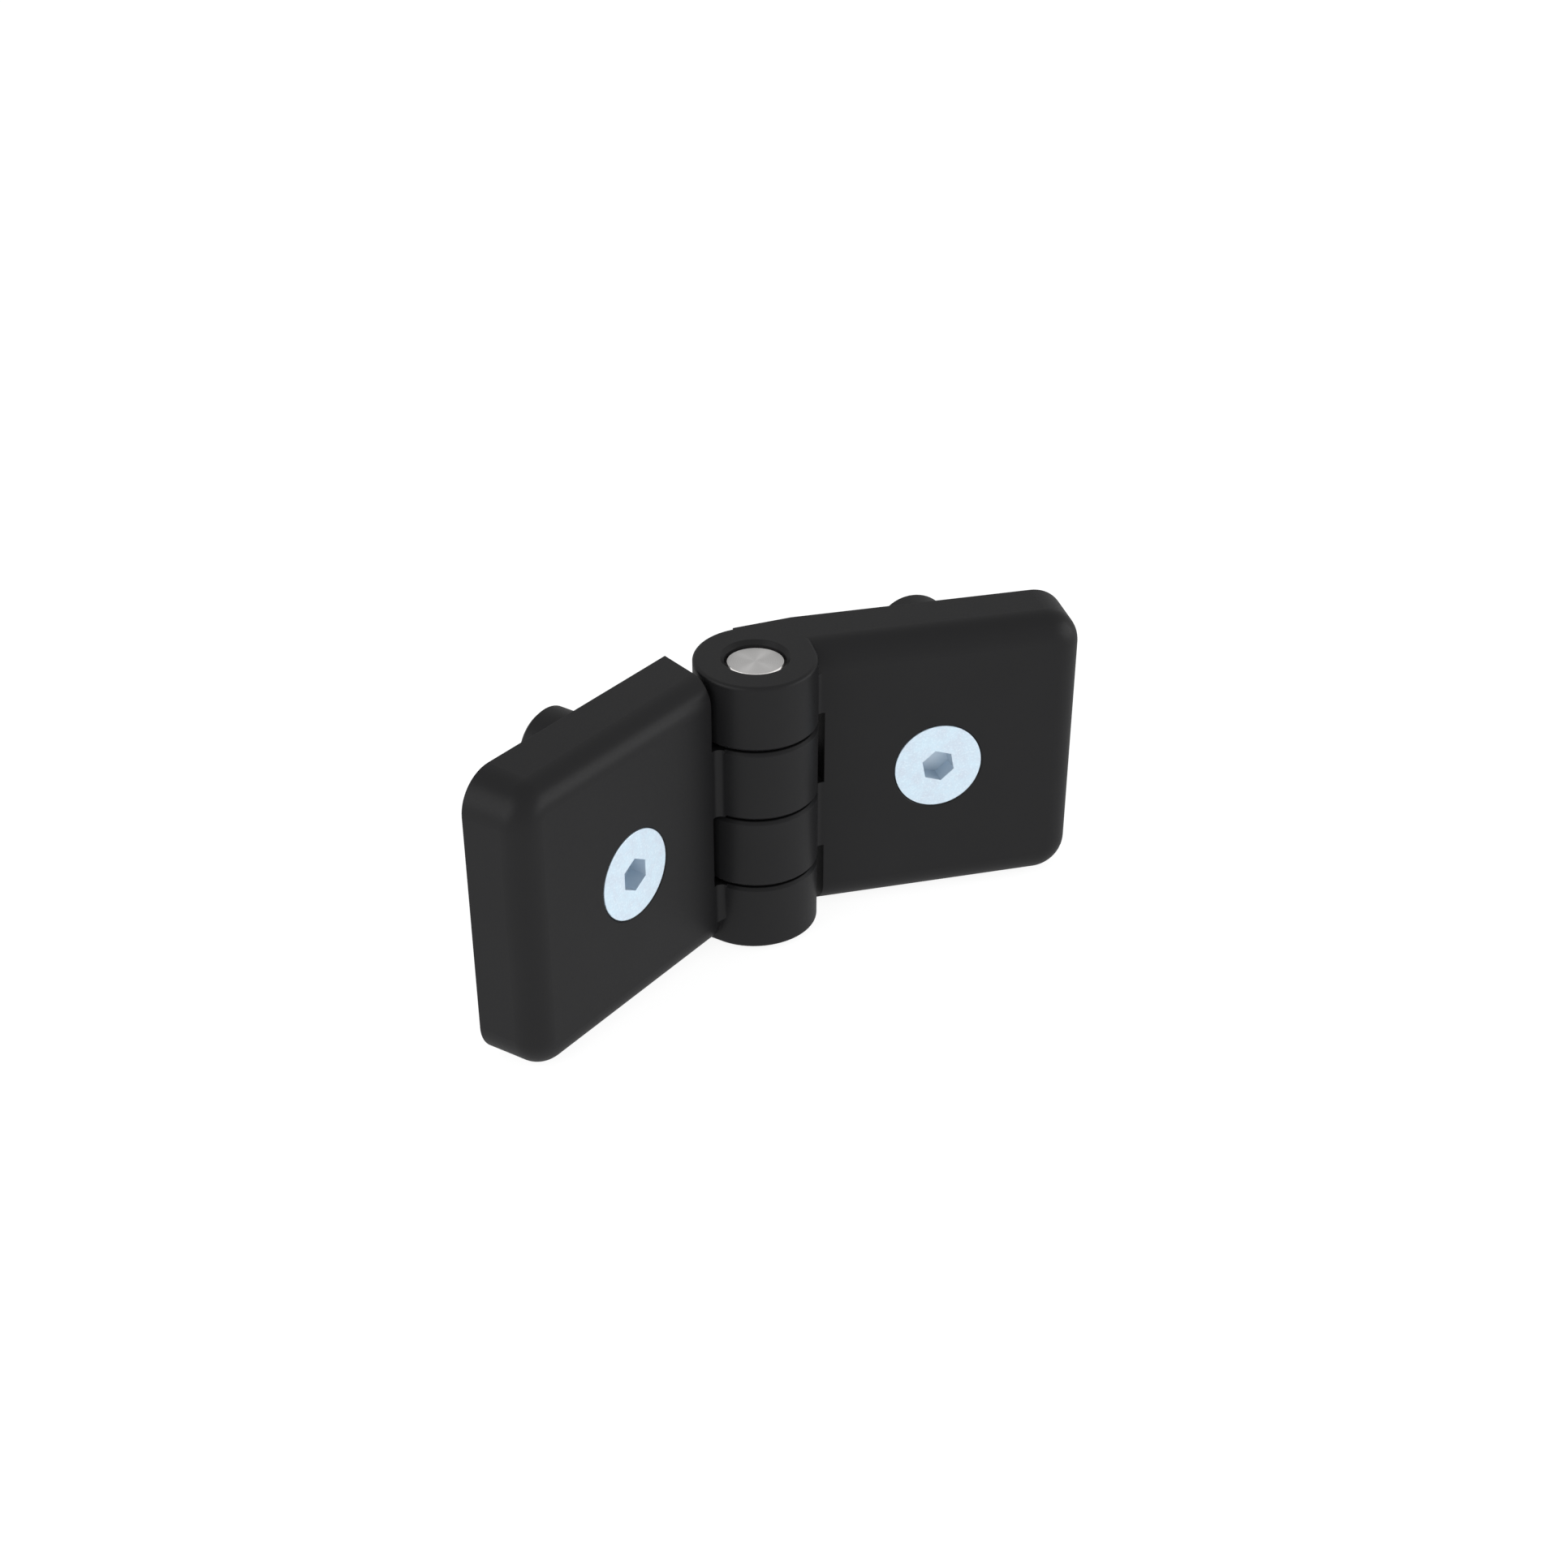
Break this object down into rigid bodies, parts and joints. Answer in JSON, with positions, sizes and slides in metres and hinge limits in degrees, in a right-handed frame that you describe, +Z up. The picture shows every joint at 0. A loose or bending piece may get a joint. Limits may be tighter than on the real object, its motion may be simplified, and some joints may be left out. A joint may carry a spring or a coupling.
{
  "type": "plastic hinge",
  "caption": "Moulded black plastic leaf hinge with interlocking knuckles on a steel pin, countersunk socket screws and round locating lugs for slotted profiles.",
  "frame": {"origin": "on the fixed leaf's screw axis, in the plane of its mounting face, at mid height", "axes": "+X along the fixed leaf to its outer edge, +Y out of its mounting face, +Z up along the pin"},
  "size_m": [0.0853, 0.0474, 0.04],
  "materials": {
    "leaf_plastic": "black, fine moulded grain",
    "pin_steel": "bright, turned ends",
    "screw_steel": "bright zinc plated"
  },
  "bodies": {
    "fixed": {"fixed_leaf": "leaf_plastic", "hinge_pin": "pin_steel", "fixed_leaf_screw": "screw_steel"},
    "swinging": {"swinging_leaf": "leaf_plastic", "swinging_leaf_screw": "screw_steel"}
  },
  "joints": [
    {"name": "leaf_swing", "type": "hinge", "parent": "fixed", "child": "swinging", "pos_m": [-0.025, -0.009, 0], "axis": [0, 0, 1], "range_deg": [-113, 140]}
  ]
}
